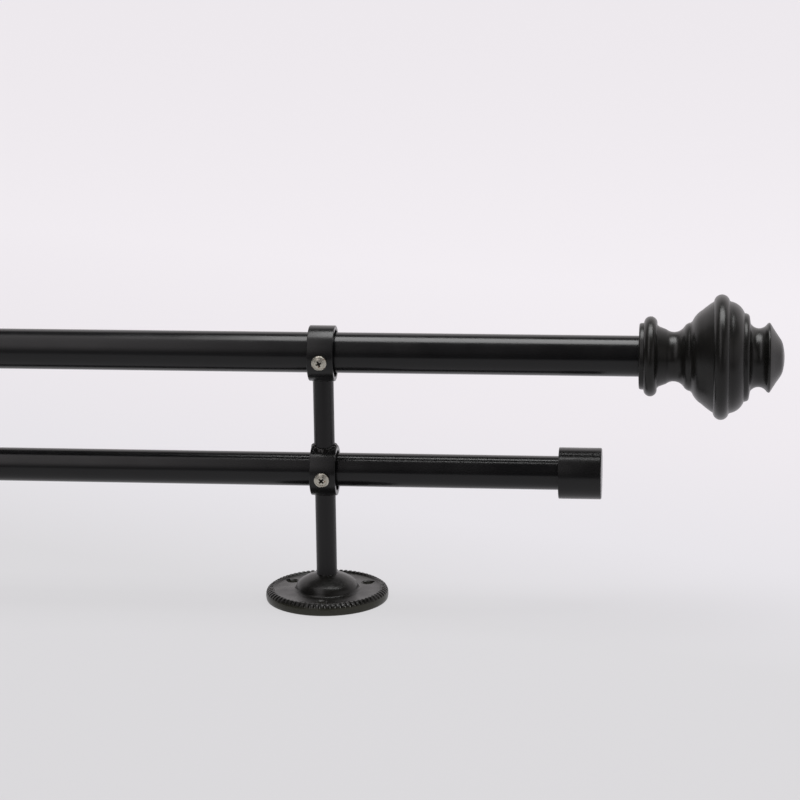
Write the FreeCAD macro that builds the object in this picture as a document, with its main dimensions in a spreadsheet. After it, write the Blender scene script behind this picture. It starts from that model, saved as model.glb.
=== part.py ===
import FreeCAD, Part
import Sketcher
import os

# A double curtain rod on two wall brackets. Millimetres, +Z away from the wall, X along the rods,
# origin on the wall halfway between the brackets. Each telescoping rod is a wide tube from the
# right end with a narrow tube sliding in it that comes out at the left end.

SIZES = {
    # Where the brackets stand and how far the rods pass them.
    "bracket_x": 267.0,
    "bracket_to_finial": 151.5,
    "bracket_to_cap": 113.5,
    "front_rod_z": 123.0,
    "rear_rod_z": 64.7,
    "rod_setback": 1.55,
    # Tubes over their coat of powder: wide and narrow, front and rear.
    "front_wide_d": 19.6,
    "front_narrow_d": 16.4,
    "rear_wide_d": 16.4,
    "rear_narrow_d": 13.4,
    "tube_wall": 0.9,
    "front_wide_length": 760.0,
    "front_narrow_length": 735.0,
    "rear_wide_length": 722.0,
    "rear_narrow_length": 700.0,
    "sliding_gap": 0.05,
    # Wall plate: a hollow casting with a raised, coin-milled border.
    "plate_d": 60.0,
    "face_height": 4.5,
    "face_wall": 1.9,
    "border_height": 5.5,
    "border_inside_d": 51.6,
    "border_top_d": 54.8,
    "border_rise": 0.8,
    "milled_edge_d": 58.6,
    "milled_edge_height": 4.5,
    "widest_height": 2.0,
    "foot_d": 59.4,
    "foot_inside_d": 55.2,
    "side_bow": 0.12,
    "dome_d": 31.6,
    "dome_top": 12.4,
    "dome_crown_bow": 0.45,
    "shoulder_d": 26.0,
    "shoulder_top": 9.2,
    "dome_shoulder_bow": 0.45,
    "dome_foot": 5.2,
    "dome_wall": 2.0,
    "dome_fillet": 0.5,
    "notch_count": 72.0,
    "notch_root_d": 53.6,
    "notch_width": 1.5,
    "notch_depth": 1.5,
    "keyhole_circle": 43.0,
    "keyhole_d": 4.8,
    "keyhole_slot": 2.6,
    "keyhole_reach": 25.2,
    "slot_end_bow": 0.78,
    # Stem and collars.
    "stem_d": 10.0,
    "stem_foot_z": 8.0,
    "collar_width": 12.5,
    "front_collar_d": 26.8,
    "front_collar_bore": 22.8,
    "rear_collar_d": 24.4,
    "rear_collar_bore": 19.6,
    "collar_bevel": 0.35,
    "bevel_bow": 0.1,
    # Weld beads.
    "foot_bead": 1.5,
    "neat_bead": 0.75,
    "plate_bead": 0.9,
    "plate_bead_z": 12.4,
    "bead_overlap": 0.3,
    "foot_bead_overlap": 0.5,
    # Set screws: a metric four thread under a pan head.
    "screw_tilt": 6.0,
    "screw_hole_d": 4.0,
    "screw_head_d": 7.2,
    "screw_head_rise": 2.3,
    "screw_head_gap": 0.5,
    "recess_span": 3.9,
    "recess_width": 0.9,
    "recess_depth": 1.4,
    "crown_share": 0.45,
    "crown_bow": 0.42,
    "tip_chamfer": 0.4,
    "tip_gap": 0.1,
    # Finials and how they hold to the tubes.
    "finial_d": 59.6,
    "stud_d": 8.0,
    "stud_in_finial": 25.0,
    "stud_in_tube": 15.0,
    "plug_length": 18.0,
    "insert_d": 11.0,
    # End caps of the rear rod.
    "cap_d": 24.8,
    "cap_length": 20.6,
    "cap_wall": 1.6,
    "cap_bevel": 0.6,
    "liner_length": 16.0,
    "liner_inset": 0.4,
    # Guide bushes on the hidden ends of the narrow tubes.
    "bush_head": 6.0,
    "bush_spigot": 12.0,
    "bush_bore_d": 8.0,
}


class Size:
    """A length together with the sheet expression that gives it."""

    def __init__(self, value, text=None):
        self.value = float(value)
        self.text = text or repr(float(value))

    def joined(self, other, sign, value):
        other_text = other.text if isinstance(other, Size) else repr(float(other))
        return Size(value, f"({self.text} {sign} {other_text})")

    def __add__(self, other):
        return self.joined(other, "+", self.value + plain(other))

    def __sub__(self, other):
        return self.joined(other, "-", self.value - plain(other))

    def __mul__(self, other):
        return self.joined(other, "*", self.value * plain(other))

    def __truediv__(self, other):
        return self.joined(other, "/", self.value / plain(other))


def plain(length):
    """The number behind a Size or a bare number."""
    return length.value if isinstance(length, Size) else float(length)


def fill_sheet(document):
    """Writes the driving dimensions to the sheet and returns them by name."""
    sheet = document.addObject("Spreadsheet::Sheet", "Sizes")
    for row, (name, value) in enumerate(SIZES.items(), start=1):
        sheet.set(f"A{row}", name)
        sheet.set(f"B{row}", str(value))
        sheet.setAlias(f"B{row}", name)
    document.recompute()
    return {name: Size(value, f"Sizes.{name}") for name, value in SIZES.items()}


def bind(item, prop, length):
    """Binds a property of a document object to a length from the sheet."""
    item.setExpression(prop, length.text if isinstance(length, Size) else repr(float(length)))


def place(item, x, y, z, turn=0.0):
    """Puts a sub-part where the sheet says, turned about the vertical."""
    item.Placement = FreeCAD.Placement(
        FreeCAD.Vector(plain(x), plain(y), plain(z)),
        FreeCAD.Rotation(FreeCAD.Vector(0, 0, 1), turn),
    )
    for axis, length in zip("xyz", (x, y, z)):
        bind(item, f"Placement.Base.{axis}", length)


def new_body(label):
    """An empty body whose label is the sub-part's name."""
    made = doc.addObject("PartDesign::Body", label)
    made.Label = label
    return made


def new_sketch(owner, name, role):
    """A sketch on one of the body's own origin planes."""
    made = owner.newObject("Sketcher::SketchObject", f"{owner.Name}_{name}")
    flat = next(p for p in owner.Origin.OriginFeatures if p.Role == role)
    made.AttachmentSupport = [(flat, "")]
    made.MapMode = "FlatFace"
    return made


def dimension(sketch, kind, geometry, length):
    """A driving radius or diameter bound to the sheet."""
    number = sketch.addConstraint(Sketcher.Constraint(kind, geometry, plain(length)))
    bind(sketch, f"Constraints[{number}]", length)


def fix_point(sketch, geometry, end, across, up):
    """Holds a point of the sketch at a distance from its origin both ways."""
    for kind, length in (("DistanceX", across), ("DistanceY", up)):
        number = sketch.addConstraint(Sketcher.Constraint(kind, -1, 1, geometry, end, plain(length)))
        bind(sketch, f"Constraints[{number}]", length)


def add_circle(sketch, diameter, across=0.0, up=0.0):
    """A dimensioned circle."""
    centre = FreeCAD.Vector(plain(across), plain(up), 0)
    number = sketch.addGeometry(Part.Circle(centre, FreeCAD.Vector(0, 0, 1), plain(diameter) / 2))
    dimension(sketch, "Diameter", number, diameter)
    fix_point(sketch, number, 3, across, up)


def arc_radius(start, end, bow):
    """The radius of the arc that stands out from its chord by bow."""
    across = end[0] - start[0] if isinstance(end[0], Size) else Size(end[0]) - start[0]
    up = end[1] - start[1] if isinstance(end[1], Size) else Size(end[1]) - start[1]
    size = bow if isinstance(bow, Size) else Size(bow)
    return (across * across + up * up) / (size * 8) + size / 2


def add_outline(sketch, corners):
    """A closed outline. Each corner is (across, up, bow): bow is how far the edge to the next
    corner stands out from its chord, to the left of the way it runs, and 0 is a straight edge."""
    numbers = []
    for start, end in zip(corners, corners[1:] + corners[:1]):
        first = FreeCAD.Vector(plain(start[0]), plain(start[1]), 0)
        last = FreeCAD.Vector(plain(end[0]), plain(end[1]), 0)
        chord = last - first
        crown = (first + last) / 2 + FreeCAD.Vector(-chord.y, chord.x, 0).normalize() * plain(start[2])
        if plain(start[2]) == 0:
            edge = Part.LineSegment(first, last)
        elif plain(start[2]) > 0:
            edge = Part.Arc(last, crown, first)
        else:
            edge = Part.Arc(first, crown, last)
        numbers.append(sketch.addGeometry(edge))
    for index, (across, up, bow) in enumerate(corners):
        before = corners[index - 1]
        after = corners[(index + 1) % len(corners)]
        first_end, _ = run_ends(bow)
        _, last_end = run_ends(before[2])
        fix_point(sketch, numbers[index], first_end, across, up)
        sketch.addConstraint(
            Sketcher.Constraint("Coincident", numbers[index - 1], last_end, numbers[index], first_end)
        )
        if plain(bow) != 0:
            height = bow if plain(bow) > 0 else bow * -1
            dimension(sketch, "Radius", numbers[index], arc_radius((across, up), after, height))


def run_ends(bow):
    """The numbers of an edge's first and last ends. An arc is held anticlockwise, so the ends of
    one that bows to the left are the other way round."""
    return (2, 1) if plain(bow) > 0 else (1, 2)


def pad(owner, sketch, length, both_ways=False):
    """A boss of the sketch's outline."""
    made = owner.newObject("PartDesign::Pad", f"{owner.Name}_pad")
    made.Profile = sketch
    made.Midplane = both_ways
    bind(made, "Length", length)
    return made


def revolve(owner, sketch, axis):
    """A full turn of the sketch's outline about one of the sketch's axes."""
    made = owner.newObject("PartDesign::Revolution", f"{owner.Name}_turned")
    made.Profile = sketch
    made.ReferenceAxis = (sketch, [axis])
    made.Angle = 360
    return made


def pocket(owner, sketch, length, reverse=False, both_ways=False):
    """A cut of the sketch's outline, which has to take material away."""
    doc.recompute()
    before = owner.Shape.Volume
    made = owner.newObject("PartDesign::Pocket", f"{owner.Name}_{sketch.Name}_cut")
    made.Profile = sketch
    made.Reversed = reverse
    made.Midplane = both_ways
    bind(made, "Length", length)
    doc.recompute()
    if owner.Shape.Volume >= before - 1e-6:
        raise RuntimeError(f"{made.Name} cuts nothing")
    return made


def spread(owner, feature, count, sketch):
    """Copies of a cut, evenly spaced about the body's Z axis."""
    made = owner.newObject("PartDesign::PolarPattern", f"{feature.Name}_ring")
    made.Originals = [feature]
    made.Axis = (sketch, ["N_Axis"])
    made.Angle = 360
    made.Occurrences = count
    owner.Tip = made
    return made


def turned_part(label, corners, axis="H_Axis"):
    """A lathe-turned sub-part: about X with H_Axis, about Z with V_Axis."""
    owner = new_body(label)
    outline = new_sketch(owner, "outline", "XZ_Plane")
    add_outline(outline, corners)
    revolve(owner, outline, axis)
    return owner


def wall_plate(side, x):
    """Round hollow casting: domed round the stem, a raised coin-milled border, three keyholes."""
    rim = size["plate_d"] / 2
    face = size["face_height"]
    under = face - size["face_wall"]
    border = size["border_height"]
    border_inside = size["border_inside_d"] / 2
    milled_edge = size["milled_edge_d"] / 2
    foot_inside = size["foot_inside_d"] / 2
    stem = size["stem_d"] / 2
    wall = size["dome_wall"]
    dome = size["dome_d"] / 2
    shoulder = size["shoulder_d"] / 2
    shoulder_top = size["shoulder_top"]
    owner = turned_part(
        f"{side}_wall_plate",
        [
            (stem, size["dome_top"] - wall, 0),
            (stem, size["dome_top"], size["dome_crown_bow"]),
            (shoulder, shoulder_top, size["dome_shoulder_bow"]),
            (dome, size["dome_foot"], 0),
            (dome + size["dome_fillet"], face, 0),
            (border_inside, face, 0),
            (border_inside + size["border_rise"], border, 0),
            (size["border_top_d"] / 2, border, size["side_bow"]),
            (milled_edge, size["milled_edge_height"], size["side_bow"]),
            (rim, size["widest_height"], size["side_bow"]),
            (size["foot_d"] / 2, 0.0, 0),
            (foot_inside, 0.0, 0),
            (foot_inside, under, 0),
            (dome - wall, under, 0),
            (shoulder - wall * 0.7, shoulder_top - wall * 0.7, size["dome_crown_bow"] * -1),
        ],
        "V_Axis",
    )
    notch = new_sketch(owner, "notch", "XY_Plane")
    half = size["notch_width"] / 2
    root = size["notch_root_d"] / 2
    add_outline(notch, [(root, 0.0, 0), (rim + 1, half * -1, 0), (rim + 1, half, 0)])
    bind(notch, "AttachmentOffset.Base.z", border)
    first = pocket(owner, notch, size["notch_depth"])
    spread(owner, first, int(plain(size["notch_count"])), notch)
    keyhole = new_sketch(owner, "keyhole", "XY_Plane")
    add_circle(keyhole, size["keyhole_d"], 0.0, size["keyhole_circle"] / -2)
    hole = pocket(owner, keyhole, border, reverse=True)
    spread(owner, hole, 3, keyhole)
    slot = new_sketch(owner, "slot", "XY_Plane")
    slot_half = size["keyhole_slot"] / 2
    near = size["keyhole_circle"] / -2
    far = size["keyhole_reach"] * -1
    add_outline(
        slot,
        [
            (slot_half * -1, near, 0),
            (slot_half * -1, far, size["slot_end_bow"] * -1),
            (slot_half, far, 0),
            (slot_half, near, 0),
        ],
    )
    cut = pocket(owner, slot, border, reverse=True)
    spread(owner, cut, 3, slot)
    place(owner, x, 0.0, 0.0)
    return owner


def stem_piece(label, x, bottom, top, cuts):
    """A length of round bar whose ends are coped to the collars that they are welded to."""
    owner = new_body(label)
    section = new_sketch(owner, "section", "XY_Plane")
    add_circle(section, size["stem_d"])
    bind(section, "AttachmentOffset.Base.z", bottom)
    pad(owner, section, top - bottom)
    for number, (diameter, height) in enumerate(cuts):
        cope = new_sketch(owner, f"cope_{number}", "YZ_Plane")
        add_circle(cope, diameter, 0.0, height)
        pocket(owner, cope, size["collar_width"], both_ways=True)
    place(owner, x, 0.0, 0.0)
    return owner


def collar(label, x, z, outside, bore):
    """A ring cut from tube, bevelled at its edges and tapped on its near side."""
    bevel = size["collar_bevel"]
    half = size["collar_width"] / 2
    owner = turned_part(
        label,
        [
            (half * -1, bore / 2, 0),
            (half * -1, outside / 2 - bevel, size["bevel_bow"]),
            (half * -1 + bevel, outside / 2, 0),
            (half - bevel, outside / 2, size["bevel_bow"]),
            (half, outside / 2 - bevel, 0),
            (half, bore / 2, 0),
        ],
    )
    tapped = new_sketch(owner, "tapped_hole", "XZ_Plane")
    add_circle(tapped, size["screw_hole_d"])
    tapped.AttachmentOffset = FreeCAD.Placement(
        FreeCAD.Vector(), FreeCAD.Rotation(FreeCAD.Vector(1, 0, 0), SIZES["screw_tilt"])
    )
    bind(tapped, "AttachmentOffset.Rotation.Angle", size["screw_tilt"])
    pocket(owner, tapped, outside, reverse=True)
    place(owner, x, 0.0, z)
    return owner


def weld_beads(side, x, joined):
    """The beads that join plate, stems and collars: four rings, cut clear of what they join."""
    stem = size["stem_d"] / 2
    rear_under = size["rear_rod_z"] - size["rear_collar_d"] / 2
    rear_top = size["rear_rod_z"] + size["rear_collar_d"] / 2
    front_under = size["front_rod_z"] - size["front_collar_d"] / 2
    rings = []
    for name, bead, height in (
        ("plate", size["plate_bead"], size["plate_bead_z"]),
        ("rear_under", size["neat_bead"], rear_under + size["bead_overlap"]),
        ("rear_top", size["foot_bead"], rear_top - size["foot_bead_overlap"]),
        ("front_under", size["neat_bead"], front_under + size["bead_overlap"]),
    ):
        ring = doc.addObject("Part::Torus", f"{side}_{name}_ring")
        bind(ring, "Radius1", stem + size["bead_overlap"])
        bind(ring, "Radius2", bead)
        place(ring, x, 0.0, height)
        rings.append(ring)
    all_rings = doc.addObject("Part::MultiFuse", f"{side}_bead_rings")
    all_rings.Shapes = rings
    steel = doc.addObject("Part::MultiFuse", f"{side}_bead_clearance")
    steel.Shapes = joined
    beads = doc.addObject("Part::Cut", f"{side}_weld_beads")
    beads.Label = f"{side}_weld_beads"
    beads.Base = all_rings
    beads.Tool = steel
    return beads


def set_screw(label, x, z, collar_d, tube_d):
    """Pan head screw with a cross recess, its flat tip on the tube. Its axis is its own Z."""
    tip = tube_d / 2 - size["rod_setback"] + size["tip_gap"]
    seat = collar_d / 2 + size["screw_head_gap"]
    top = seat + size["screw_head_rise"]
    shank = size["screw_hole_d"] / 2 - size["sliding_gap"]
    head = size["screw_head_d"] / 2
    crown = size["screw_head_rise"] * size["crown_share"]
    chamfer = size["tip_chamfer"]
    owner = turned_part(
        label,
        [
            (0.0, tip, 0),
            (shank - chamfer, tip, 0),
            (shank, tip + chamfer, 0),
            (shank, seat, 0),
            (head, seat, 0),
            (head, top - crown, size["crown_bow"]),
            (0.0, top, 0),
        ],
        "V_Axis",
    )
    cross = new_sketch(owner, "recess", "XY_Plane")
    long_half = size["recess_span"] / 2
    thin_half = size["recess_width"] / 2
    quarter = [(long_half, thin_half), (thin_half, thin_half), (thin_half, long_half)]
    corners = []
    for turn in range(4):
        for across, up in quarter:
            for _ in range(turn):
                across, up = up * -1, across
            corners.append((across, up, 0))
    add_outline(cross, corners)
    bind(cross, "AttachmentOffset.Base.z", top)
    pocket(owner, cross, size["recess_depth"])
    place(owner, x, 0.0, z)
    owner.Placement.Rotation = FreeCAD.Rotation(FreeCAD.Vector(1, 0, 0), 90 + SIZES["screw_tilt"])
    bind(owner, "Placement.Rotation.Angle", size["screw_tilt"] + 90)
    return owner


def tube(label, right_end, length, diameter, z):
    """A drawn steel tube that ends at right_end and runs to the left."""
    owner = new_body(label)
    section = new_sketch(owner, "section", "YZ_Plane")
    add_circle(section, diameter)
    add_circle(section, diameter - size["tube_wall"] * 2)
    pad(owner, section, length)
    place(owner, right_end - length, size["rod_setback"], z)
    return owner


def guide_bush(label, x, narrow_d, wide_d, z):
    """Moulded bush: a spigot in the narrow tube's end and a head that runs in the wide tube."""
    wall = size["tube_wall"]
    head = wide_d / 2 - wall - size["sliding_gap"]
    spigot = narrow_d / 2 - wall
    bore = size["bush_bore_d"] / 2
    owner = turned_part(
        label,
        [
            (size["bush_spigot"] * -1, bore, 0),
            (size["bush_spigot"] * -1, spigot, 0),
            (0.0, spigot, 0),
            (0.0, head, 0),
            (size["bush_head"], head, 0),
            (size["bush_head"], bore, 0),
        ],
    )
    place(owner, x, size["rod_setback"], z)
    return owner


def tube_plug(label, x, tube_d, turn):
    """Moulded plug pressed into the end of a tube, flush with it. It holds the threaded insert."""
    outside = tube_d / 2 - size["tube_wall"]
    owner = turned_part(
        label,
        [
            (size["plug_length"] * -1, size["insert_d"] / 2, 0),
            (size["plug_length"] * -1, outside, 0),
            (0.0, outside, 0),
            (0.0, size["insert_d"] / 2, 0),
        ],
    )
    place(owner, x, size["rod_setback"], size["front_rod_z"], turn)
    return owner


def plug_insert(label, x, turn):
    """Brass insert in the plug, which the finial's stud screws into."""
    bore = size["stud_d"] / 2 + size["sliding_gap"]
    owner = turned_part(
        label,
        [
            (size["plug_length"] * -1, bore, 0),
            (size["plug_length"] * -1, size["insert_d"] / 2, 0),
            (0.0, size["insert_d"] / 2, 0),
            (0.0, bore, 0),
        ],
    )
    place(owner, x, size["rod_setback"], size["front_rod_z"], turn)
    return owner


def finial_stud(label, x, turn):
    """Threaded steel stud, half in the finial and half in the tube's insert."""
    stud = size["stud_d"] / 2
    chamfer = stud * 0.2
    owner = turned_part(
        label,
        [
            (size["stud_in_tube"] * -1, 0.0, 0),
            (size["stud_in_tube"] * -1, stud - chamfer, 0),
            (size["stud_in_tube"] * -1 + chamfer, stud, 0),
            (size["stud_in_finial"], stud, 0),
            (size["stud_in_finial"], 0.0, 0),
        ],
    )
    place(owner, x, size["rod_setback"], size["front_rod_z"], turn)
    return owner


def finial(label, x, turn):
    """Turned finial: base lip and bead, waisted neck, ogee body with a girdle bead, second neck
    and a blunt cone. Stations are for a finial 59.6 mm across and scale with its diameter."""
    unit = size["finial_d"] / 59.6
    stud = size["stud_d"] / 2
    stations = [
        (0.0, 14.9, 0.25),
        (0.9, 15.8, 0.0),
        (2.2, 15.9, 3.5),
        (8.4, 15.2, 0.0),
        (9.4, 14.3, 0.0),
        (12.8, 13.0, -1.85),
        (21.2, 14.3, 0.4),
        (24.2, 16.3, 0.0),
        (25.0, 17.0, 0.55),
        (29.6, 22.3, 0.15),
        (35.1, 26.4, 3.15),
        (42.5, 26.9, 0.0),
        (43.1, 26.5, 1.1),
        (49.6, 21.1, 0.0),
        (50.4, 20.9, 0.4),
        (52.0, 19.3, 0.0),
        (52.5, 16.1, -2.15),
        (60.3, 16.1, 0.0),
        (60.9, 16.5, 0.2),
        (61.9, 16.2, -0.1),
        (66.4, 9.3, 0.25),
        (68.0, 5.4, 0.15),
    ]
    corners = [(0.0, stud, 0)]
    for along, radius, bow in stations:
        corners.append((unit * along, unit * radius, unit * bow))
    corners.append((unit * 68.6, 0.0, 0))
    corners.append((size["stud_in_finial"], 0.0, 0))
    corners.append((size["stud_in_finial"], stud, 0))
    owner = turned_part(label, corners)
    place(owner, x, size["rod_setback"], size["front_rod_z"], turn)
    return owner


def end_cap(label, x, turn):
    """Drawn steel cup over the end of the rear rod."""
    outside = size["cap_d"] / 2
    bore = outside - size["cap_wall"]
    bevel = size["cap_bevel"]
    floor = size["cap_length"] - size["cap_wall"]
    owner = turned_part(
        label,
        [
            (0.0, bore, 0),
            (0.0, outside - bevel * 0.5, 0),
            (bevel * 0.5, outside, 0),
            (size["cap_length"] - bevel, outside, bevel * 0.3),
            (size["cap_length"], outside - bevel, 0),
            (size["cap_length"], 0.0, 0),
            (floor, 0.0, 0),
            (floor, bore, 0),
        ],
    )
    place(owner, x, size["rod_setback"], size["rear_rod_z"], turn)
    return owner


def cap_liner(label, x, tube_d, turn):
    """Moulded sleeve in the cap that grips the tube."""
    outside = size["cap_d"] / 2 - size["cap_wall"]
    bore = tube_d / 2 + size["sliding_gap"]
    owner = turned_part(
        label,
        [
            (size["liner_inset"], bore, 0),
            (size["liner_inset"], outside, 0),
            (size["liner_length"], outside, 0),
            (size["liner_length"], bore, 0),
        ],
    )
    place(owner, x, size["rod_setback"], size["rear_rod_z"], turn)
    return owner


def bracket(side, x):
    """Wall plate, two stems, two collars, their welds and the two set screws."""
    plate = wall_plate(side, x)
    rear = collar(
        f"{side}_rear_collar", x, size["rear_rod_z"], size["rear_collar_d"], size["rear_collar_bore"]
    )
    front = collar(
        f"{side}_front_collar", x, size["front_rod_z"], size["front_collar_d"], size["front_collar_bore"]
    )
    rear_cope = (size["rear_collar_d"], size["rear_rod_z"])
    front_cope = (size["front_collar_d"], size["front_rod_z"])
    lower = stem_piece(
        f"{side}_lower_stem", x, size["stem_foot_z"], size["rear_rod_z"], [rear_cope]
    )
    upper = stem_piece(
        f"{side}_upper_stem", x, size["rear_rod_z"], size["front_rod_z"], [rear_cope, front_cope]
    )
    beads = weld_beads(side, x, [plate, rear, front, lower, upper])
    front_screw = set_screw(
        f"{side}_front_set_screw", x, size["front_rod_z"], size["front_collar_d"], size["front_wide_d"]
    )
    rear_screw = set_screw(
        f"{side}_rear_set_screw", x, size["rear_rod_z"], size["rear_collar_d"], size["rear_wide_d"]
    )
    return [plate, rear, front, lower, upper, beads, front_screw, rear_screw]


def rods():
    """Both telescoping rods with what is in and on their ends."""
    finial_x = size["bracket_x"] + size["bracket_to_finial"]
    cap_x = size["bracket_x"] + size["bracket_to_cap"]
    rear_end = cap_x + size["liner_length"]
    front_narrow_end = finial_x * -1 + size["front_narrow_length"]
    rear_narrow_end = rear_end * -1 + size["rear_narrow_length"]
    made = []
    for row, z, end, narrow_end in (
        ("front", size["front_rod_z"], finial_x, front_narrow_end),
        ("rear", size["rear_rod_z"], rear_end, rear_narrow_end),
    ):
        wide_d = size[f"{row}_wide_d"]
        narrow_d = size[f"{row}_narrow_d"]
        made.append(tube(f"{row}_outer_tube", end, size[f"{row}_wide_length"], wide_d, z))
        made.append(tube(f"{row}_inner_tube", narrow_end, size[f"{row}_narrow_length"], narrow_d, z))
        made.append(guide_bush(f"{row}_guide_bush", narrow_end, narrow_d, wide_d, z))
    for side, sign, turn, front_d, rear_d in (
        ("right", 1, 0.0, size["front_wide_d"], size["rear_wide_d"]),
        ("left", -1, 180.0, size["front_narrow_d"], size["rear_narrow_d"]),
    ):
        made.append(tube_plug(f"{side}_tube_plug", finial_x * sign, front_d, turn))
        made.append(plug_insert(f"{side}_plug_insert", finial_x * sign, turn))
        made.append(finial_stud(f"{side}_finial_stud", finial_x * sign, turn))
        made.append(finial(f"{side}_finial", finial_x * sign, turn))
        made.append(end_cap(f"{side}_end_cap", cap_x * sign, turn))
        made.append(cap_liner(f"{side}_cap_liner", cap_x * sign, rear_d, turn))
    return made


def check_and_write(sub_parts):
    """Stops on any failed object or bad solid, then writes one STEP file for each sub-part."""
    failed = [item.Name for item in doc.Objects if {"Invalid", "Error"} & set(item.State)]
    if failed:
        raise RuntimeError(f"objects failed to build: {failed}")
    for item in sub_parts:
        if item.Shape.isNull() or not item.Shape.isValid() or not item.Shape.Solids:
            raise RuntimeError(f"{item.Label} has no valid solid")
    os.makedirs("parts", exist_ok=True)
    for item in sub_parts:
        item.Shape.exportStep(f"parts/{item.Label}.step")
        print(f"{item.Label}: {len(item.Shape.Solids)} solid, {item.Shape.Volume:.0f} mm3")


doc = FreeCAD.newDocument("curtain_rod")
size = fill_sheet(doc)
nodes = bracket("right", size["bracket_x"]) + bracket("left", size["bracket_x"] * -1) + rods()
doc.recompute()
check_and_write(nodes)
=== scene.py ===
import math

import bpy
from mathutils import Matrix, Vector


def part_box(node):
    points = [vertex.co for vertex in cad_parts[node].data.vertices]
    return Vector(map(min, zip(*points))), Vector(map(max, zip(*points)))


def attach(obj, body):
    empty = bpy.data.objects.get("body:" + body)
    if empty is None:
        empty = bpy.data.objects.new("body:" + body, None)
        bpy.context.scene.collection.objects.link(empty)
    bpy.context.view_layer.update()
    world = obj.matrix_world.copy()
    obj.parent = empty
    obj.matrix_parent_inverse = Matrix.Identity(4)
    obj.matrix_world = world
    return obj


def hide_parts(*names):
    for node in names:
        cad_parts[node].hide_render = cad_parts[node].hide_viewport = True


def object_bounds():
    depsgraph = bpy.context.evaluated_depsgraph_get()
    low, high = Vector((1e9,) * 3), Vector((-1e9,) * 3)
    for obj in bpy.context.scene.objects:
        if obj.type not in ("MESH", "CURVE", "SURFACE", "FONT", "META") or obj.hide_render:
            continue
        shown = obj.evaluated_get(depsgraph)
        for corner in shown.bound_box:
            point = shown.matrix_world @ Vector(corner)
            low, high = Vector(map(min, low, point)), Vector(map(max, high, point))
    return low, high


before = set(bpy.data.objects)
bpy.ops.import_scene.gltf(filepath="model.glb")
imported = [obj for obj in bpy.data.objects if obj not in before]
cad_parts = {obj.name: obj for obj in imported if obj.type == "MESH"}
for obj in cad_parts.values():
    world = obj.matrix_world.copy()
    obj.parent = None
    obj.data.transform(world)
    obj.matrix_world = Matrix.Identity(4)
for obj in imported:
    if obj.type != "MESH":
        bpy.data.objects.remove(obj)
cad_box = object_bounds()

# ---------------------------------------------------------------------------------------------
# Camera. A long lens a little above the rods and off to the right, looking slightly left along
# them, so that the right-hand bracket, finial and cap fill the picture.
plate_low, plate_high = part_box("right_wall_plate")
right_x = (plate_low.x + plate_high.x) / 2
lens_mm = 129.4
camera_place = Vector((right_x + 0.1795, -1.3329, 0.4411))
camera_yaw = math.radians(6.1)
camera_pitch = math.radians(14.265)
camera_roll = math.radians(-0.72)
camera_data = bpy.data.cameras.new("studio_camera")
camera_data.sensor_width = 36.0
camera_data.lens = lens_mm
camera_data.clip_start = 0.05
camera_data.clip_end = 60.0
camera = bpy.data.objects.new("studio_camera", camera_data)
camera.matrix_world = (
    Matrix.Translation(camera_place)
    @ Matrix.Rotation(camera_yaw, 4, "Z")
    @ Matrix.Rotation(math.pi / 2 - camera_pitch, 4, "X")
    @ Matrix.Rotation(camera_roll, 4, "Z")
)
bpy.context.scene.collection.objects.link(camera)
bpy.context.scene.camera = camera
bpy.context.scene.view_settings.view_transform = "Standard"

# ---------------------------------------------------------------------------------------------
# Studio. A pale paper floor with one long softbox overhead, a bright wall behind and an unlit
# room in front, which is what puts a narrow band of light along the top of a black tube.


def shade(hex_code):
    """An sRGB hex colour as linear red, green, blue and alpha."""
    parts = [int(hex_code[i : i + 2], 16) / 255 for i in (0, 2, 4)]
    linear = [c / 12.92 if c <= 0.04045 else ((c + 0.055) / 1.055) ** 2.4 for c in parts]
    return (*linear, 1.0)


def add_node(tree, kind, inputs=None, **settings):
    """Adds a node, sets its properties, and sets each input or links it to another node."""
    node = tree.nodes.new(kind)
    for name, value in settings.items():
        setattr(node, name, value)
    for name, value in (inputs or {}).items():
        if isinstance(value, bpy.types.NodeSocket):
            tree.links.new(value, node.inputs[name])
        else:
            node.inputs[name].default_value = value
    return node


def new_material(name):
    """An empty node material with its output node."""
    material = bpy.data.materials.new(name)
    material.use_nodes = True
    material.node_tree.nodes.clear()
    return material, add_node(material.node_tree, "ShaderNodeOutputMaterial")


floor_reach = 30.0
floor_gap = 0.0002
bpy.ops.object.select_all(action="DESELECT")
bpy.ops.mesh.primitive_plane_add(size=floor_reach, location=(0, 0, cad_box[0].z - floor_gap))
floor = bpy.context.object
floor.name = "paper_floor"
bpy.ops.object.transform_apply(location=True)

# The paper glows evenly, brighter further back and towards the right, and stops half a metre in
# front of the rods, so the undersides of the tubes mirror a pale strip and then the dark room.
# Past its edge the bare floor on the left still catches some of the light.
paper_stops = -0.62
paper_whole = -0.42
bare_floor_glow = 0.42
paper, paper_out = new_material("matt_white_paper")
tree = paper.node_tree
spot = add_node(tree, "ShaderNodeTexCoord").outputs["Object"]
across = add_node(tree, "ShaderNodeSeparateXYZ", {0: spot})
slant = add_node(tree, "ShaderNodeMath", {0: across.outputs["X"], 1: 0.45}, operation="MULTIPLY")
further = {0: across.outputs["Y"], 1: slant.outputs[0]}
depth = add_node(tree, "ShaderNodeMath", further, operation="ADD")
glow = add_node(tree, "ShaderNodeValToRGB", {"Fac": depth.outputs[0]})
glow.color_ramp.elements[0].position = 0.12
glow.color_ramp.elements[0].color = shade("cecdcf")
glow.color_ramp.elements[1].position = 0.9
glow.color_ramp.elements[1].color = shade("e8e4e8")
glow.color_ramp.elements.new(0.28).color = shade("dad8dc")
glow.color_ramp.elements.new(0.5).color = shade("e1dde1")
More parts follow.
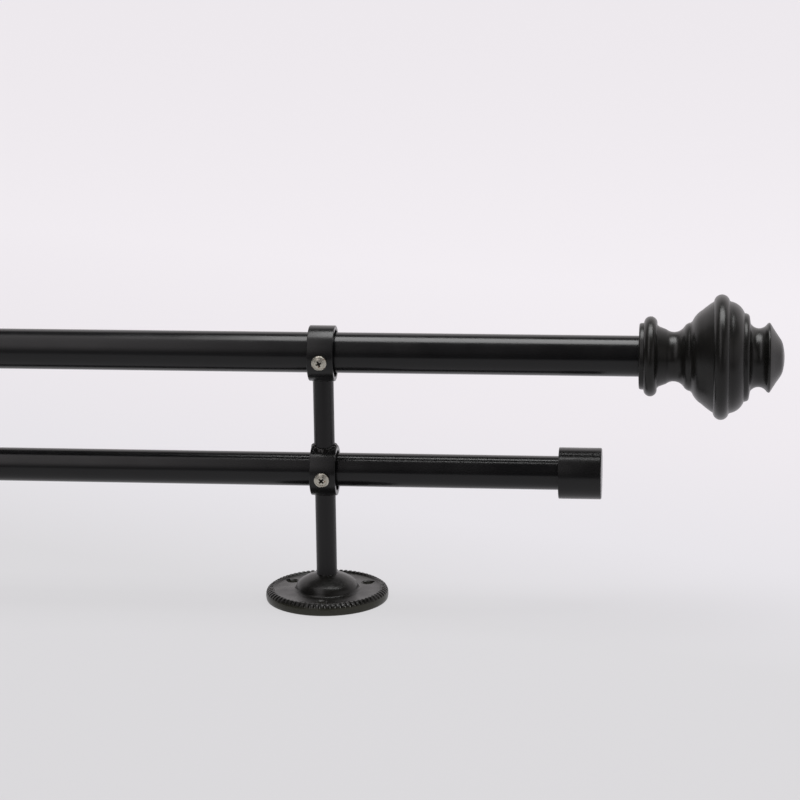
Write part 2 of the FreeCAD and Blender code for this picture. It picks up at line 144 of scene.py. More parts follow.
beyond = add_node(
    tree,
    "ShaderNodeMapRange",
    {
        "Value": across.outputs["X"],
        "From Min": 0.0,
        "From Max": 0.22,
        "To Min": bare_floor_glow,
        "To Max": 0.0,
    },
    interpolation_type="SMOOTHSTEP",
)
paper_edge = add_node(
    tree,
    "ShaderNodeMapRange",
    {
        "Value": across.outputs["Y"],
        "From Min": paper_stops,
        "From Max": paper_whole,
        "To Min": beyond.outputs[0],
        "To Max": 1.0,
    },
    interpolation_type="SMOOTHSTEP",
)
matt = add_node(tree, "ShaderNodeBsdfDiffuse", {"Color": shade("504f51")})
lit = add_node(
    tree,
    "ShaderNodeEmission",
    {"Color": glow.outputs["Color"], "Strength": paper_edge.outputs[0]},
)
both = add_node(tree, "ShaderNodeAddShader", {0: matt.outputs[0], 1: lit.outputs[0]})
tree.links.new(both.outputs[0], paper_out.inputs["Surface"])
floor.data.materials.append(paper)

# The room is nearly dark, and three things in it are lit: a wall behind, which stops well below
# the softbox, a pale ceiling past the left-hand end, which gives the far stretch of the tubes its
# wider, duller band, and a dimmer wall on the right. Each row says how bright one of them is and
# which ways it covers: along an axis, it is unlit at the first value and fully lit at the second.
room_dark = 0.06
room_lights = (
    (0.92, (("Y", 0.15, 0.45), ("Z", 0.78, 0.62))),
    (1.7, (("X", -0.12, -0.17), ("X", -0.6, -0.4), ("Z", -0.15, 0.62), ("Y", 0.3, 0.0))),
    (0.65, (("X", 0.12, 0.9), ("Y", 0.4, 0.1), ("Z", 0.7, 0.4))),
)
room = bpy.data.worlds.new("studio_room")
room.use_nodes = True
tree = room.node_tree
tree.nodes.clear()
room_out = add_node(tree, "ShaderNodeOutputWorld")
way = add_node(tree, "ShaderNodeTexCoord").outputs["Generated"]
way_parts = add_node(tree, "ShaderNodeSeparateXYZ", {0: way})
total = room_dark
for brightness, edges in room_lights:
    lit_part = brightness
    for axis, unlit, full in edges:
        edge = add_node(
            tree,
            "ShaderNodeMapRange",
            {"Value": way_parts.outputs[axis], "From Min": unlit, "From Max": full},
            interpolation_type="SMOOTHSTEP",
        )
        covered = {0: edge.outputs[0], 1: lit_part}
        lit_part = add_node(tree, "ShaderNodeMath", covered, operation="MULTIPLY").outputs[0]
    total = add_node(tree, "ShaderNodeMath", {0: lit_part, 1: total}, operation="ADD").outputs[0]
sky = add_node(tree, "ShaderNodeBackground", {"Color": shade("fffafc"), "Strength": total})
tree.links.new(sky.outputs[0], room_out.inputs["Surface"])
bpy.context.scene.world = room

# The softbox hangs over the right-hand half and a little behind the rods, and isn't seen itself.
softbox_length = 1.0
softbox_width = 0.66
softbox_left = 0.06
softbox_behind = 0.15
softbox_height = 1.32
softbox_glow = 8.3
softbox_data = bpy.data.lights.new("overhead_softbox", "AREA")
softbox_data.shape = "RECTANGLE"
softbox_data.size = softbox_length
softbox_data.size_y = softbox_width
softbox_data.energy = softbox_glow * math.pi * softbox_length * softbox_width
softbox = bpy.data.objects.new("overhead_softbox", softbox_data)
softbox.location = (softbox_left + softbox_length / 2, softbox_behind, softbox_height)
softbox.visible_camera = False
bpy.context.scene.collection.objects.link(softbox)

# ---------------------------------------------------------------------------------------------
# Wall plates. Each is a small zinc casting, 60 mm across: domed round the stem, flat outside
# that, with a coin-milled rim and three keyholes. Trimmed by hand, then painted satin black.
MM = 0.001
plate_rim = (plate_high.x - plate_low.x) / 2 / MM
dome_top = (plate_high.z - plate_low.z) / MM
stem_radius = 5.0
face_height = 4.5
border_height = 5.5
spin_steps = 720
milled_count = 72
milled_depth = 1.1
milled_from = 26.2
milled_to = 29.9
keyhole_radius = 2.4
keyhole_circle = 21.5
keyhole_reach = 25.2
keyhole_slot_width = 2.6
cutter_height = 0.02


def bowed(corners):
    """Turns corners (along, out, bow) into points in metres. Bow is how far the edge that
    follows stands out from its chord, to the left of the way it runs."""
    points = []
    for (along, out, bow), (next_along, next_out, _) in zip(corners, corners[1:] + corners[-1:]):
        points.append((along * MM, out * MM))
        if bow == 0 or (along, out) == (next_along, next_out):
            continue
        half = math.hypot(next_along - along, next_out - out) / 2
        radius = (half**2 + bow**2) / (2 * abs(bow))
        sweep_angle = 2 * math.atan2(half, radius - abs(bow))
        count = max(3, round(math.degrees(sweep_angle) / 7))
        side = math.copysign(1, bow)
        forward = ((next_along - along) / (2 * half), (next_out - out) / (2 * half))
        left = (-forward[1] * side, forward[0] * side)
        middle = ((along + next_along) / 2, (out + next_out) / 2)
        for step in range(1, count):
            turn = (step / count - 0.5) * sweep_angle
            run = radius * math.sin(turn)
            rise = radius * math.cos(turn) - (radius - abs(bow))
            points.append(
                (
                    (middle[0] + forward[0] * run + left[0] * rise) * MM,
                    (middle[1] + forward[1] * run + left[1] * rise) * MM,
                )
            )
    return points


def turn_up(name, corners, centre, along, steps, closed=True):
    """Turns a piece as on a lathe: a point is drawn along the outline and the outline is spun."""
    along = Vector(along).normalized()
    out = along.orthogonal().normalized()
    places = [Vector(centre) + along * a + out * r for a, r in bowed(corners)]
    bpy.ops.object.select_all(action="DESELECT")
    bpy.ops.mesh.primitive_plane_add(size=MM, location=places[0])
    piece = bpy.context.object
    piece.name = name
    bpy.ops.object.mode_set(mode="EDIT")
    bpy.ops.mesh.merge(type="CENTER")
    for here, there in zip(places, places[1:] + (places[:1] if closed else [])):
        bpy.ops.mesh.extrude_vertices_move(TRANSFORM_OT_translate={"value": there - here})
    bpy.ops.mesh.select_all(action="SELECT")
    bpy.ops.mesh.spin(steps=steps, angle=2 * math.pi, center=centre, axis=along)
    bpy.ops.mesh.select_all(action="SELECT")
    bpy.ops.mesh.remove_doubles(threshold=0.004 * MM)
    bpy.ops.mesh.normals_make_consistent(inside=False)
    bpy.ops.object.mode_set(mode="OBJECT")
    bpy.ops.object.transform_apply(location=True)
    bpy.ops.object.shade_smooth_by_angle(angle=math.radians(32))
    return piece


def cut_away(piece, cutter):
    """Takes the cutter's shape out of the piece and removes the cutter."""
    bpy.ops.object.select_all(action="DESELECT")
    bpy.context.view_layer.objects.active = piece
    piece.select_set(True)
    saw = piece.modifiers.new("cut", "BOOLEAN")
    saw.operation = "DIFFERENCE"
    saw.solver = "EXACT"
    saw.object = cutter
    bpy.ops.object.modifier_apply(modifier=saw.name)
    bpy.data.objects.remove(cutter)


def copy_piece(piece, name, shift):
    """A copy with its own mesh, moved in its mesh."""
    twin = piece.copy()
    twin.data = piece.data.copy()
    twin.name = name
    bpy.context.scene.collection.objects.link(twin)
    twin.data.transform(Matrix.Translation(shift))
    return twin


right_plate = turn_up(
    "right_cast_plate",
    [
        (dome_top - 1.9, stem_radius + 0.1, 0),
        (dome_top - 0.3, stem_radius + 0.1, 0),
        (dome_top, stem_radius + 0.5, -0.42),
        (9.1, 12.8, -0.45),
        (5.5, 15.3, 0.2),
        (face_height, 16.7, 0),
        (face_height, 25.5, 0.06),
        (face_height + 0.3, 26.0, 0),
        (border_height - 0.15, 26.5, -0.04),
        (border_height, 26.8, 0),
        (border_height, 27.4, -0.1),
        (border_height - 0.45, 28.4, 0),
        (border_height - 1.0, 29.3, 0),
        (border_height - 1.5, 29.6, -0.05),
        (3.0, 29.95, 0),
        (2.0, plate_rim, -0.05),
        (0.3, 29.8, -0.05),
        (0.0, 29.5, 0),
        (0.0, 27.8, 0),
        (0.3, 27.6, 0),
        (2.6, 27.4, 0),
        (2.6, 13.9, 0.35),
        (7.8, 11.6, 0.4),
    ],
    (right_x, 0, 0),
    (0, 0, 1),
    spin_steps,
)

# The milling: grooves pressed into the rim's top edge, deepest outside and run out inwards.
for vertex in right_plate.data.vertices:
    reach = math.hypot(vertex.co.x - right_x, vertex.co.y) / MM
    if milled_from < reach < milled_to and vertex.co.z > (border_height - 1.8) * MM:
        angle = math.atan2(vertex.co.y, vertex.co.x - right_x)
        open_out = min(1.0, (reach - milled_from) / 1.4)
        groove = max(0.0, math.cos(angle * milled_count) - 0.55 + 0.75 * open_out)
        vertex.co.z -= milled_depth * open_out * min(1.0, groove) * MM

# The keyholes: a round end with its edge broken, and a slot from it towards the rim.
for angle in (-90, 30, 150):
    outward = Vector((math.cos(math.radians(angle)), math.sin(math.radians(angle)), 0))
    hole = Vector((right_x, 0, 0)) + outward * keyhole_circle * MM
    bpy.ops.object.select_all(action="DESELECT")
    bpy.ops.mesh.primitive_cylinder_add(
        vertices=48,
        radius=keyhole_radius * MM,
        depth=cutter_height,
        location=hole,
    )
    cut_away(right_plate, bpy.context.object)
    bpy.ops.mesh.primitive_cone_add(
        vertices=48,
        radius1=keyhole_radius * 0.9 * MM,
        radius2=keyhole_radius * 1.5 * MM,
        depth=1.2 * MM,
        location=hole + Vector((0, 0, (face_height - 0.15) * MM)),
    )
    cut_away(right_plate, bpy.context.object)
    slot_length = keyhole_reach - keyhole_circle
    bpy.ops.mesh.primitive_cube_add(
        size=1,
        location=hole + outward * slot_length / 2 * MM,
        rotation=(0, 0, math.radians(angle)),
        scale=(slot_length * MM, keyhole_slot_width * MM, cutter_height),
    )
    bpy.ops.object.mode_set(mode="EDIT")
    bpy.ops.mesh.select_all(action="SELECT")
    bpy.ops.mesh.bevel(offset=0.7 * MM, segments=4)
    bpy.ops.object.mode_set(mode="OBJECT")
    cut_away(right_plate, bpy.context.object)
bpy.context.view_layer.objects.active = right_plate
right_plate.select_set(True)
bpy.ops.object.shade_smooth_by_angle(angle=math.radians(38))

# Satin black paint on a casting: a faint lumpiness of a few millimetres from the sand or die, a
# finer orange peel from the spray, and a painted highlight: the foot of the rim is painted a
# lighter grey-brown for the soft light that its bulging outer wall catches.
cast_paint, cast_out = new_material("satin_paint_on_casting")
tree = cast_paint.node_tree
place_on = add_node(tree, "ShaderNodeTexCoord").outputs["Object"]
lumps = add_node(
    tree,
    "ShaderNodeTexNoise",
    {"Vector": place_on, "Scale": 1 / (6 * MM), "Detail": 3.0},
)
peel = add_node(
    tree,
    "ShaderNodeTexNoise",
    {"Vector": place_on, "Scale": 1 / (0.9 * MM), "Detail": 2.0},
)
tone = add_node(
    tree,
    "ShaderNodeMix",
    {"Factor": lumps.outputs["Fac"], "A": shade("10100f"), "B": shade("1c1b18")},
    data_type="RGBA",
)
up = add_node(tree, "ShaderNodeSeparateXYZ", {0: place_on}).outputs["Z"]
# Painted highlight: below 4.3 mm the wall is mixed towards a lighter grey-brown, for the soft light
# on the rim's bulging outer wall.
wall_highlight_band = add_node(
    tree,
    "ShaderNodeMapRange",
    {"Value": up, "From Min": 4.3 * MM, "From Max": 3.2 * MM, "To Min": 0.0, "To Max": 0.6},
)
highlit_casting_tone = add_node(
    tree,
    "ShaderNodeMix",
    {"Factor": wall_highlight_band.outputs[0], "A": tone.outputs["Result"], "B": shade("38382d")},
    data_type="RGBA",
)
dullness = add_node(
    tree,
    "ShaderNodeMapRange",
    {
        "Value": lumps.outputs["Fac"],
        "From Min": 0.3,
        "From Max": 0.7,
        "To Min": 0.26,
        "To Max": 0.36,
    },
)
waves = add_node(
    tree,
    "ShaderNodeBump",
    {"Height": lumps.outputs["Fac"], "Strength": 0.5, "Distance": 0.35 * MM},
)
grain = add_node(
    tree,
    "ShaderNodeBump",
    {
        "Height": peel.outputs["Fac"],
        "Strength": 0.35,
        "Distance": 0.06 * MM,
        "Normal": waves.outputs[0],
    },
)
coat = add_node(
    tree,
    "ShaderNodeBsdfPrincipled",
    {
        "Base Color": highlit_casting_tone.outputs["Result"],
        "Roughness": dullness.outputs[0],
        "Normal": grain.outputs[0],
        "Specular IOR Level": 0.3,
    },
)
tree.links.new(coat.outputs[0], cast_out.inputs["Surface"])
right_plate.data.materials.clear()
right_plate.data.materials.append(cast_paint)
to_left = Vector((-2 * right_x, 0, 0))
left_plate = copy_piece(right_plate, "left_cast_plate", to_left)
for side, plate in (("right", right_plate), ("left", left_plate)):
    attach(plate, f"{side}_bracket")
    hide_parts(f"{side}_wall_plate")

# ---------------------------------------------------------------------------------------------
# Stems. Plain round bar, 10 mm, in two lengths: plate to rear collar, and rear collar to front
# collar. Their ends are hidden in the plate and in the welds, and are sprayed with the bracket.

# Powder coat on steel: hard, semi-gloss and very even, with an orange peel of about a millimetre
# that only shows where a light's edge is mirrored in it.


def powder_coat(name, dark, light, smooth, dull, peel_mm):
    """Semi-gloss black powder coat with the given tones, roughness range and orange peel."""
    material, output = new_material(name)
    tree = material.node_tree
    place_on = add_node(tree, "ShaderNodeTexCoord").outputs["Object"]
    cloud = add_node(
        tree,
        "ShaderNodeTexNoise",
        {"Vector": place_on, "Scale": 1 / (14 * MM), "Detail": 2.0},
    )
    fine = add_node(
        tree,
        "ShaderNodeTexNoise",
        {"Vector": place_on, "Scale": 1 / (peel_mm * MM), "Detail": 1.5},
    )
    tone = add_node(
        tree,
        "ShaderNodeMix",
        {"Factor": cloud.outputs["Fac"], "A": shade(dark), "B": shade(light)},
        data_type="RGBA",
    )
    dullness = add_node(
        tree,
        "ShaderNodeMapRange",
        {
            "Value": cloud.outputs["Fac"],
            "From Min": 0.3,
            "From Max": 0.7,
            "To Min": smooth,
            "To Max": dull,
        },
    )
    grain = add_node(
        tree,
        "ShaderNodeBump",
        {"Height": fine.outputs["Fac"], "Strength": 0.2, "Distance": 0.02 * MM},
    )
    coat = add_node(
        tree,
        "ShaderNodeBsdfPrincipled",
        {
            "Base Color": tone.outputs["Result"],
            "Roughness": dullness.outputs[0],
            "Normal": grain.outputs[0],
            "Specular IOR Level": 0.3,
        },
    )
    tree.links.new(coat.outputs[0], output.inputs["Surface"])
    return material


stem_paint = powder_coat("powder_coat_on_bar", "100f10", "171617", 0.3, 0.38, 0.8)
for part in ("lower_stem", "upper_stem"):
    low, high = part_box(f"right_{part}")
    bar = turn_up(
        f"right_{part}_bar",
        [
            (0.0, 0.0, 0),
            (0.0, stem_radius - 0.4, 0),
            (0.4, stem_radius, 0),
            ((high.z - low.z) / MM - 0.1, stem_radius, 0),
            ((high.z - low.z) / MM, stem_radius - 0.1, 0),
            ((high.z - low.z) / MM, 0.0, 0),
        ],
        (right_x, 0, low.z),
        (0, 0, 1),
        96,
        closed=False,
    )
    bar.data.materials.append(stem_paint)
    other = copy_piece(bar, f"left_{part}_bar", to_left)
    for side, stem in (("right", bar), ("left", other)):
        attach(stem, f"{side}_bracket")
        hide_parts(f"{side}_{part}")

# ---------------------------------------------------------------------------------------------
# Collars. Rings sawn from tube, 12.5 mm wide, edges broken, drilled and tapped on the near side,
# welded to the stem and sprayed with it. The rod lies against the far side of the bore.
ring_paint = powder_coat("powder_coat_on_ring", "0e0e0f", "151515", 0.22, 0.28, 1.0)
screw_tilt = math.radians(6)
screw_way = Vector((0, -math.cos(screw_tilt), -math.sin(screw_tilt)))
screw_hole_radius = 2.05
rings = {}
for row, outside, bore in (("front", 13.4, 11.4), ("rear", 12.2, 9.8)):
    low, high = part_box(f"right_{row}_collar")
    half = (high.x - low.x) / 2 / MM
    centre = (low + high) / 2
    rings[row] = (centre, outside)
    ring = turn_up(
        f"right_{row}_ring",
        [
            (-half, bore + 0.2, 0),
            (-half, outside - 0.4, 0.12),
            (-half + 0.4, outside, 0),
            (half - 0.4, outside, 0.12),
            (half, outside - 0.4, 0),
            (half, bore + 0.2, 0),
            (half - 0.2, bore, 0),
            (-half + 0.2, bore, 0),
        ],
        centre,
        (1, 0, 0),
        144,
    )
    bpy.ops.mesh.primitive_cylinder_add(
        vertices=40,
        radius=screw_hole_radius * MM,
        depth=outside * MM,
        location=centre + screw_way * outside * MM,
        rotation=(math.radians(90) + screw_tilt, 0, 0),
    )
    cut_away(ring, bpy.context.object)
    ring.data.materials.append(ring_paint)
    twin = copy_piece(ring, f"left_{row}_ring", to_left)
    for side, made in (("right", ring), ("left", twin)):
        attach(made, f"{side}_bracket")
        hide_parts(f"{side}_{row}_collar")

# ---------------------------------------------------------------------------------------------
# Weld beads. Short hand-laid fillets where the stems meet the collars and the plate: the big one
# is on top of the rear collar, a ring of overlapping drops, and the others are ground neat. The
# paint lies in them thick and glossy.
weld_paint = powder_coat("powder_coat_on_weld", "100f0f", "1a1918", 0.14, 0.26, 0.7)
rear_centre, rear_radius = rings["rear"]
front_centre, front_radius = rings["front"]
ripple = bpy.data.textures.new("weld_ripple", "CLOUDS")
ripple.noise_scale = 1.1 * MM
ripple.noise_depth = 1


def weld_bead(name, height, across, bead, drops, saddle_radius, saddle_way):
    """A ring of weld round the stem, with drops round it, drooping over the collar it lies on."""
    bpy.ops.object.select_all(action="DESELECT")
    bpy.ops.mesh.primitive_torus_add(
        major_segments=120,
        minor_segments=20,
        major_radius=across,
        minor_radius=bead,
        location=(right_x, 0, height),
    )
    made = bpy.context.object
    made.name = name
    bpy.ops.object.transform_apply(location=True)
    for vertex in made.data.vertices:
        angle = math.atan2(vertex.co.y, vertex.co.x - right_x)
        swell = 1 + 0.16 * abs(math.sin(angle * drops / 2)) + 0.08 * math.sin(angle * 3 + 1)
        vertex.co.z = height + (vertex.co.z - height) * swell
        if saddle_radius:
            fall = saddle_radius - math.sqrt(saddle_radius**2 - vertex.co.y**2)
            vertex.co.z -= fall * saddle_way
    lumps = made.modifiers.new("lumps", "DISPLACE")
    lumps.texture = ripple
    lumps.texture_coords = "LOCAL"
    lumps.strength = bead * 0.55
    lumps.mid_level = 0.5
    bpy.ops.object.modifier_apply(modifier=lumps.name)
    bpy.ops.object.shade_smooth()
    return made


rear_top = rear_centre.z + rear_radius * MM
rear_under = rear_centre.z - rear_radius * MM
front_under = front_centre.z - front_radius * MM
plate_top = dome_top * MM
beads = [
    weld_bead(f"right_bead_{place}", height, across * MM, bead * MM, drops, saddle * MM, saddle_way)
    for place, height, across, bead, drops, saddle, saddle_way in (
        ("rear_top", rear_top - 0.3 * MM, 5.2, 1.25, 13, rear_radius, 1),
        ("rear_under", rear_under + 0.3 * MM, 5.05, 0.6, 9, rear_radius, -1),
        ("front_under", front_under + 0.3 * MM, 5.05, 0.6, 9, front_radius, -1),
        ("plate", plate_top - 0.25 * MM, 5.1, 0.4, 7, 0, 0),
    )
]
bpy.ops.object.select_all(action="DESELECT")
for bead in beads:
    bead.select_set(True)
bpy.context.view_layer.objects.active = beads[0]
bpy.ops.object.join()
right_welds = bpy.context.object
right_welds.name = "right_welds"
right_welds.data.materials.append(weld_paint)
left_welds = copy_piece(right_welds, "left_welds", to_left)
for side, welds in (("right", right_welds), ("left", left_welds)):
    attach(welds, f"{side}_bracket")
    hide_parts(f"{side}_weld_beads")

# ---------------------------------------------------------------------------------------------
# Set screws. Metric four pan heads with a cross recess, nickel plated, driven through the tapped
# hole until the flat tip bears on the rod. The plating is scuffed and has begun to rust.
screw_head = 3.6
screw_rise = 2.3
thread_pitch = 0.7
thread_radius = 1.93
thread_root = 1.6
recess_size = (4.3, 1.15, 2.8)
steel, steel_out = new_material("scuffed_nickel_plate")
tree = steel.node_tree
place_on = add_node(tree, "ShaderNodeTexCoord").outputs["Object"]
scuffs = add_node(
    tree,
    "ShaderNodeTexNoise",
    {"Vector": place_on, "Scale": 1 / (0.8 * MM), "Detail": 4.0},
)
rust = add_node(
    tree,
    "ShaderNodeTexNoise",
    {"Vector": place_on, "Scale": 1 / (1.7 * MM), "Detail": 3.0},
)
rust_where = add_node(
    tree,
    "ShaderNodeMapRange",
    {
        "Value": rust.outputs["Fac"],
        "From Min": 0.6,
        "From Max": 0.68,
        "To Min": 0.0,
        "To Max": 0.85,
    },
)
plated = add_node(
    tree,
    "ShaderNodeMix",
    {"Factor": scuffs.outputs["Fac"], "A": shade("8d8a80"), "B": shade("d8d4c8")},
    data_type="RGBA",
)
rusted = add_node(
    tree,
    "ShaderNodeMix",
    {"Factor": rust_where.outputs[0], "A": plated.outputs["Result"], "B": shade("6e4a33")},
    data_type="RGBA",
)
worn = add_node(
    tree,
    "ShaderNodeMapRange",
    {
        "Value": scuffs.outputs["Fac"],
        "From Min": 0.3,
        "From Max": 0.7,
        "To Min": 0.28,
        "To Max": 0.5,
    },
)
dents = add_node(
    tree,
    "ShaderNodeBump",
    {"Height": scuffs.outputs["Fac"], "Strength": 0.5, "Distance": 0.08 * MM},
)
plate_shader = add_node(
    tree,
    "ShaderNodeBsdfPrincipled",
    {
        "Base Color": rusted.outputs["Result"],
        "Metallic": 1.0,
        "Roughness": worn.outputs[0],
        "Normal": dents.outputs[0],
    },
)
tree.links.new(plate_shader.outputs[0], steel_out.inputs["Surface"])

# Painted shade for the cross recess: a dull, nearly black colour that stands for the shadow falling
# into it.
recess_shade, recess_shade_out = new_material("painted_shade_in_recess")
tree = recess_shade.node_tree
place_on = add_node(tree, "ShaderNodeTexCoord").outputs["Object"]
recess_speckle = add_node(
    tree,
    "ShaderNodeTexNoise",
    {"Vector": place_on, "Scale": 1 / (0.5 * MM), "Detail": 3.0},
)
recess_shade_tone = add_node(
    tree,
    "ShaderNodeMix",
    {"Factor": recess_speckle.outputs["Fac"], "A": shade("0c0b0a"), "B": shade("2b2622")},
    data_type="RGBA",
)
recess_shade_shader = add_node(
    tree, "ShaderNodeBsdfPrincipled", {"Base Color": recess_shade_tone.outputs["Result"], "Roughness": 0.6}
)
tree.links.new(recess_shade_shader.outputs[0], recess_shade_out.inputs["Surface"])


def set_screw(name, centre, ring_radius, tip, recess_turn):
    """A pan head screw that points at the middle of its collar."""
    seat = ring_radius + 0.5
    top = seat + screw_rise
    outline = [(tip, 0.0, 0), (tip, 1.5, 0)]
    along = tip + 0.35
    while along < seat - thread_pitch:
        outline.append((along, thread_radius, 0))
        outline.append((along + thread_pitch / 2, thread_root, 0))
        along += thread_pitch
    outline += [
        (seat, thread_radius, 0),
        (seat, screw_head - 0.25, 0.05),
        (seat + 0.25, screw_head, 0),
        (top - 1.05, screw_head, 0.1),
        (top - 0.42, 2.75, 0),
        (top - 0.5, 2.6, 0),
        (top - 0.36, 2.45, 0.08),
        (top, 0.0, 0),
    ]
    made = turn_up(name, outline, centre, screw_way, 72, closed=False)
    turned = screw_way.to_track_quat("Z", "Y").to_matrix().to_4x4()
    for quarter in (0, 90):
        bpy.ops.mesh.primitive_cube_add(size=1, scale=[length * MM for length in recess_size])
        cutter = bpy.context.object
        bpy.ops.object.transform_apply(scale=True)
        for vertex in cutter.data.vertices:
            if vertex.co.z < 0:
                vertex.co.x *= 0.45
                vertex.co.y *= 0.6
        cutter.data.transform(
            Matrix.Translation(centre + screw_way * top * MM)
            @ turned
            @ Matrix.Rotation(math.radians(recess_turn + quarter), 4, "Z")
        )
        cut_away(made, cutter)
    made.data.materials.clear()
    made.data.materials.append(steel)
    made.data.materials.append(recess_shade)
    # the painted shade goes on the faces below the head's top and near the axis, which are the
    # recess
    for face in made.data.polygons:
        depth = (Vector(face.center) - centre).dot(screw_way) / MM - top
        off_axis = (Vector(face.center) - centre).cross(screw_way).length / MM
        face.material_index = 1 if depth < -0.45 and off_axis < 2.2 else 0
    bpy.context.view_layer.objects.active = made
    made.select_set(True)
    bpy.ops.object.shade_smooth_by_angle(angle=math.radians(32))
    return made


for side, shift in (("right", Vector()), ("left", to_left)):
    for row, turn in (("front", 22), ("rear", 45)):
        centre, ring_radius = rings[row]
        tip = -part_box(f"{row}_outer_tube")[0].y / MM + 0.1
        recess_turn = turn if side == "right" else turn + 30
        screw = set_screw(f"{side}_{row}_screw", centre + shift, ring_radius, tip, recess_turn)
        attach(screw, f"{side}_{row}_screw")
        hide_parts(f"{side}_{row}_set_screw")

# ---------------------------------------------------------------------------------------------
# Tubes. Drawn steel tube with a thin wall, cut square with its edges broken, and powder coated.
# The narrow tube of each rod slides in the wide one, so only its left-hand stretch shows.
tube_paint = powder_coat("powder_coat_on_tube", "0e0e0f", "131314", 0.18, 0.23, 1.1)
tube_wall = 0.9
for node, body in (
    ("front_outer_tube", "front_outer_rod"),
    ("front_inner_tube", "front_inner_rod"),
    ("rear_outer_tube", "rear_outer_rod"),
    ("rear_inner_tube", "rear_inner_rod"),
):
    low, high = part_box(node)
    length = (high.x - low.x) / MM
    radius = (high.z - low.z) / 2 / MM
    tube = turn_up(
        node.replace("_tube", "_pipe"),
        [
            (0.0, radius - tube_wall, 0),
            (0.0, radius - 0.2, 0.06),
            (0.2, radius, 0),
            (length - 0.2, radius, 0.06),
            (length, radius - 0.2, 0),
            (length, radius - tube_wall, 0),
        ],
        (low.x, (low.y + high.y) / 2, (low.z + high.z) / 2),
        (1, 0, 0),
        128,
    )
    tube.data.materials.append(tube_paint)
    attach(tube, body)
    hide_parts(node)

# ---------------------------------------------------------------------------------------------
# Finials. Cast in resin from a turned pattern and lacquered satin black: a base lip and bead, a
# waisted neck, an ogee body with a girdle bead, a second neck and a blunt cone. The lacquer is
# even and soft, so lights smear in it more than in the powder coat. Millimetres from the base.
finial_stations = [
    (0.0, 4.0, 0),
    (0.0, 14.9, 0.25),
    (0.9, 15.8, 0),
    (2.2, 15.9, 3.5),
    (8.4, 15.2, 0),
    (9.4, 14.3, 0),
    (12.8, 13.0, -1.85),
    (21.2, 14.3, 0.4),
    (24.2, 16.3, 0),
    (25.0, 17.0, 0.55),
    (29.6, 22.3, 0.15),
    (35.1, 26.4, 3.12),
    (42.5, 26.9, 0),
    (43.1, 26.5, 1.1),
    (49.6, 21.1, 0),
    (50.4, 20.9, 0.4),
    (52.0, 19.3, 0),
    (52.5, 16.1, -2.15),
    (60.3, 16.1, 0),
    (60.9, 16.5, 0.2),
    (61.9, 16.2, -0.1),
    (66.4, 9.3, 0.25),
    (68.0, 5.4, 0.15),
    (68.6, 0.0, 0),
]
lacquer, lacquer_out = new_material("satin_lacquer_on_resin")
tree = lacquer.node_tree
place_on = add_node(tree, "ShaderNodeTexCoord").outputs["Object"]
cloud = add_node(
    tree,
    "ShaderNodeTexNoise",
    {"Vector": place_on, "Scale": 1 / (9 * MM), "Detail": 3.0},
)
fine = add_node(
    tree,
    "ShaderNodeTexNoise",
    {"Vector": place_on, "Scale": 1 / (1.2 * MM), "Detail": 2.0},
)
tone = add_node(
    tree,
    "ShaderNodeMix",
    {"Factor": cloud.outputs["Fac"], "A": shade("0f0f0e"), "B": shade("191816")},
    data_type="RGBA",
)
dullness = add_node(
    tree,
    "ShaderNodeMapRange",
    {
        "Value": cloud.outputs["Fac"],
        "From Min": 0.3,
        "From Max": 0.7,
        "To Min": 0.26,
        "To Max": 0.35,
    },
)
waves = add_node(
    tree,
    "ShaderNodeBump",
    {"Height": cloud.outputs["Fac"], "Strength": 0.3, "Distance": 0.3 * MM},
)
grain = add_node(
    tree,
    "ShaderNodeBump",
    {
        "Height": fine.outputs["Fac"],
        "Strength": 0.25,
        "Distance": 0.03 * MM,
        "Normal": waves.outputs[0],
    },
)
satin = add_node(
    tree,
    "ShaderNodeBsdfPrincipled",
    {
        "Base Color": tone.outputs["Result"],
        "Roughness": dullness.outputs[0],
        "Normal": grain.outputs[0],
        "Specular IOR Level": 0.3,
    },
)
tree.links.new(satin.outputs[0], lacquer_out.inputs["Surface"])
for side, way in (("right", 1), ("left", -1)):
    low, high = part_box(f"{side}_finial")
    base = low.x if way > 0 else high.x
    turned_piece = turn_up(
        f"{side}_turned_finial",
        finial_stations,
        (base, (low.y + high.y) / 2, (low.z + high.z) / 2),
        (way, 0, 0),
        160,
        closed=False,
    )
    turned_piece.data.materials.append(lacquer)
    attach(turned_piece, f"{side}_finial")
    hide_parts(f"{side}_finial")

# ---------------------------------------------------------------------------------------------
# End caps. Cups drawn from steel sheet, with a soft outer edge and an end that is all but flat,
# powder coated and pushed on the rear rod over a moulded liner.
cap_paint = powder_coat("powder_coat_on_cap", "0e0e0f", "151515", 0.22, 0.28, 1.0)
for side, way in (("right", 1), ("left", -1)):
    low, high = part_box(f"{side}_end_cap")
    length = (high.x - low.x) / MM
    radius = (high.z - low.z) / 2 / MM
    cup = turn_up(
        f"{side}_drawn_cap",
        [
            (length - 1.6, 0.0, 0),
            (length - 1.6, radius - 1.6, 0),
            (0.2, radius - 1.6, 0),
            (0.0, radius - 1.4, 0),
            (0.0, radius - 0.3, 0.09),
            (0.3, radius, 0),
            (length - 0.7, radius, 0.2),
            (length - 0.06, radius - 0.7, 0.03),
            (length, 0.0, 0),
        ],
        (low.x if way > 0 else high.x, (low.y + high.y) / 2, (low.z + high.z) / 2),
        (way, 0, 0),
        128,
        closed=False,
    )
    cup.data.materials.append(cap_paint)
    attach(cup, f"{side}_end_cap")
    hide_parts(f"{side}_end_cap")

# ---------------------------------------------------------------------------------------------
# Hidden fittings. Moulded nylon plugs, bushes and liners, brass inserts and zinc-plated studs
# keep their designed shapes, because they are plain turned or moulded pieces. The nylon is dull
# from its mould, the turned brass is bright, and the zinc is pale and a little cloudy.


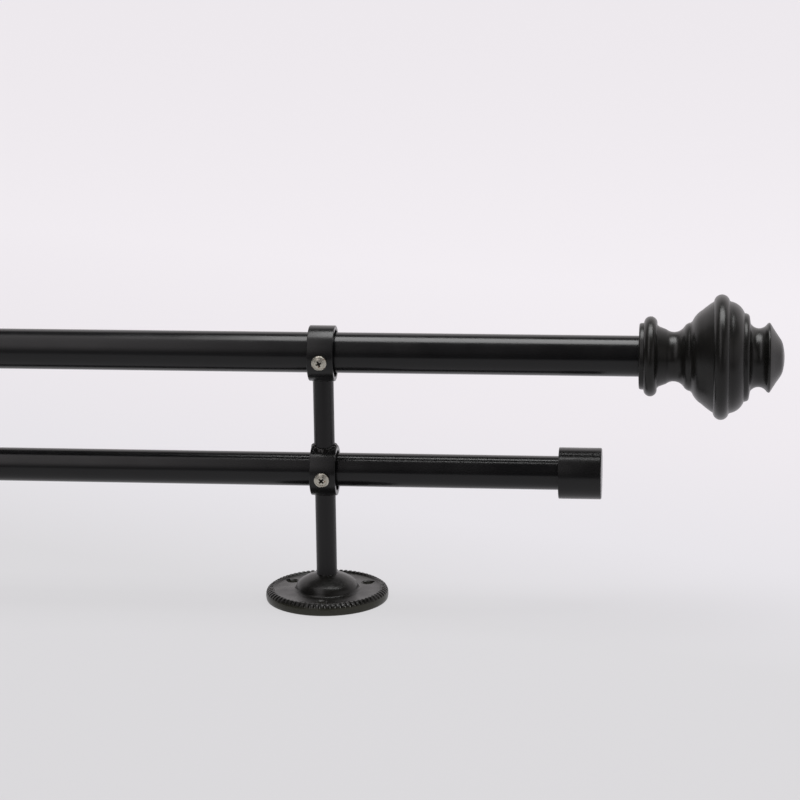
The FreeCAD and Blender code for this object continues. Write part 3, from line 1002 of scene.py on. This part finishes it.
def plain_fitting(name, dark, light, metallic, smooth, dull, grain_mm, depth_mm):
    """A fitting's surface: two tones, a roughness range and a grain of the given size."""
    material, output = new_material(name)
    tree = material.node_tree
    place_on = add_node(tree, "ShaderNodeTexCoord").outputs["Object"]
    cloud = add_node(
        tree,
        "ShaderNodeTexNoise",
        {"Vector": place_on, "Scale": 1 / (grain_mm * MM), "Detail": 3.0},
    )
    tone = add_node(
        tree,
        "ShaderNodeMix",
        {"Factor": cloud.outputs["Fac"], "A": shade(dark), "B": shade(light)},
        data_type="RGBA",
    )
    dullness = add_node(
        tree,
        "ShaderNodeMapRange",
        {
            "Value": cloud.outputs["Fac"],
            "From Min": 0.3,
            "From Max": 0.7,
            "To Min": smooth,
            "To Max": dull,
        },
    )
    grain = add_node(
        tree,
        "ShaderNodeBump",
        {"Height": cloud.outputs["Fac"], "Strength": 0.3, "Distance": depth_mm * MM},
    )
    shader = add_node(
        tree,
        "ShaderNodeBsdfPrincipled",
        {
            "Base Color": tone.outputs["Result"],
            "Metallic": metallic,
            "Roughness": dullness.outputs[0],
            "Normal": grain.outputs[0],
        },
    )
    tree.links.new(shader.outputs[0], output.inputs["Surface"])
    return material


nylon = plain_fitting("moulded_black_nylon", "121212", "1d1d1e", 0.0, 0.42, 0.55, 1.5, 0.03)
brass = plain_fitting("turned_brass", "a8842f", "c9a552", 1.0, 0.22, 0.34, 0.8, 0.02)
zinc = plain_fitting("zinc_plated_thread", "8f9296", "b9bcc0", 1.0, 0.28, 0.4, 0.7, 0.03)
fittings = {
    "front_guide_bush": nylon,
    "rear_guide_bush": nylon,
    "right_tube_plug": nylon,
    "left_tube_plug": nylon,
    "right_cap_liner": nylon,
    "left_cap_liner": nylon,
    "right_plug_insert": brass,
    "left_plug_insert": brass,
    "right_finial_stud": zinc,
    "left_finial_stud": zinc,
}
for node, material in fittings.items():
    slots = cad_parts[node].material_slots
    if not slots:
        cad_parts[node].data.materials.append(material)
    for place_in_list in slots:
        place_in_list.material = material
